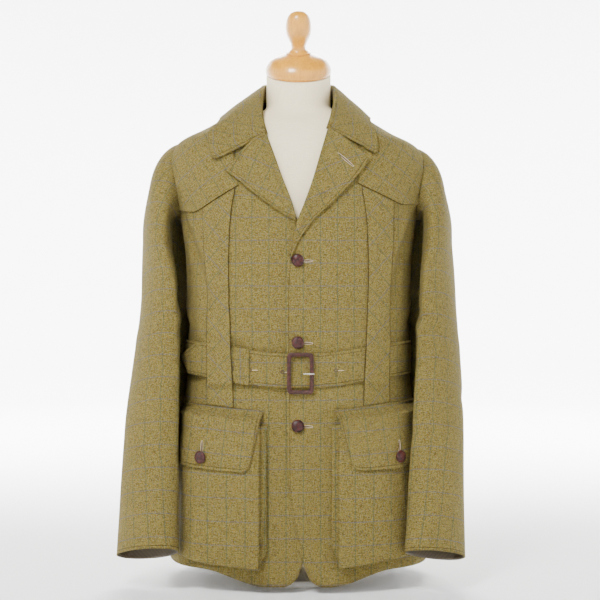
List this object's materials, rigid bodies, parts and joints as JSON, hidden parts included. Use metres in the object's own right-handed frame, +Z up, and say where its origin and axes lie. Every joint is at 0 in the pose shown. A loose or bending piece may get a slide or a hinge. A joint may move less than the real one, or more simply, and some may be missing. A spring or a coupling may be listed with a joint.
{
  "type": "norfolk jacket on a limbless dress form",
  "caption": "Belted tweed norfolk jacket with bias bands, pointed yokes, notched lapels and bellows pockets, shown on a linen dress form.",
  "frame": {"origin": "middle of the whole box's bottom, on the floor that the form's base stands on", "axes": "+Z up, -Y out of the jacket's front, +X towards the wearer's left"},
  "size_m": [0.5656, 0.3396, 0.9482],
  "materials": {
    "front_left": "checked wool tweed, matt",
    "front_right": "checked wool tweed, matt",
    "back": "checked wool tweed, matt",
    "yoke_left": "checked wool tweed, matt",
    "yoke_right": "checked wool tweed, matt",
    "band_left": "checked wool tweed, matt",
    "band_right": "checked wool tweed, matt",
    "sleeve_left": "checked wool tweed, matt",
    "sleeve_right": "checked wool tweed, matt",
    "collar": "checked wool tweed, matt",
    "lapel_left": "checked wool tweed, matt",
    "lapel_right": "checked wool tweed, matt",
    "pocket_left": "checked wool tweed, matt",
    "pocket_right": "checked wool tweed, matt",
    "flap_left": "checked wool tweed, matt",
    "flap_right": "checked wool tweed, matt",
    "belt_front": "checked wool tweed, matt",
    "belt_back": "checked wool tweed, matt",
    "belt_end": "checked wool tweed, matt",
    "belt_keeper": "checked wool tweed, matt",
    "buckle": "dark burgundy brown leather, semi-matt",
    "button_top": "dark burgundy brown leather, semi-matt",
    "button_middle": "dark burgundy brown leather, semi-matt",
    "button_bottom": "dark burgundy brown leather, semi-matt",
    "pocket_button_left": "dark burgundy brown leather, semi-matt",
    "pocket_button_right": "dark burgundy brown leather, semi-matt",
    "buckle_prong": "pale polished metal",
    "form_torso": "cream linen over a stiff shell, matt",
    "neck_cap": "varnished beech, glossy",
    "finial": "varnished beech, glossy",
    "stem": "satin steel tube",
    "base": "pale enamel, satin"
  },
  "bodies": {
    "root": {"front_left": "front_left", "front_right": "front_right", "back": "back", "yoke_left": "yoke_left", "yoke_right": "yoke_right", "band_left": "band_left", "band_right": "band_right", "sleeve_left": "sleeve_left", "sleeve_right": "sleeve_right", "collar": "collar", "lapel_left": "lapel_left", "lapel_right": "lapel_right", "pocket_left": "pocket_left", "pocket_right": "pocket_right", "flap_left": "flap_left", "flap_right": "flap_right", "belt_front": "belt_front", "belt_back": "belt_back", "belt_end": "belt_end", "belt_keeper": "belt_keeper", "buckle": "buckle", "button_top": "button_top", "button_middle": "button_middle", "button_bottom": "button_bottom", "pocket_button_left": "pocket_button_left", "pocket_button_right": "pocket_button_right", "buckle_prong": "buckle_prong", "form_torso": "form_torso", "neck_cap": "neck_cap", "finial": "finial", "stem": "stem", "base": "base"}
  },
  "joints": []
}
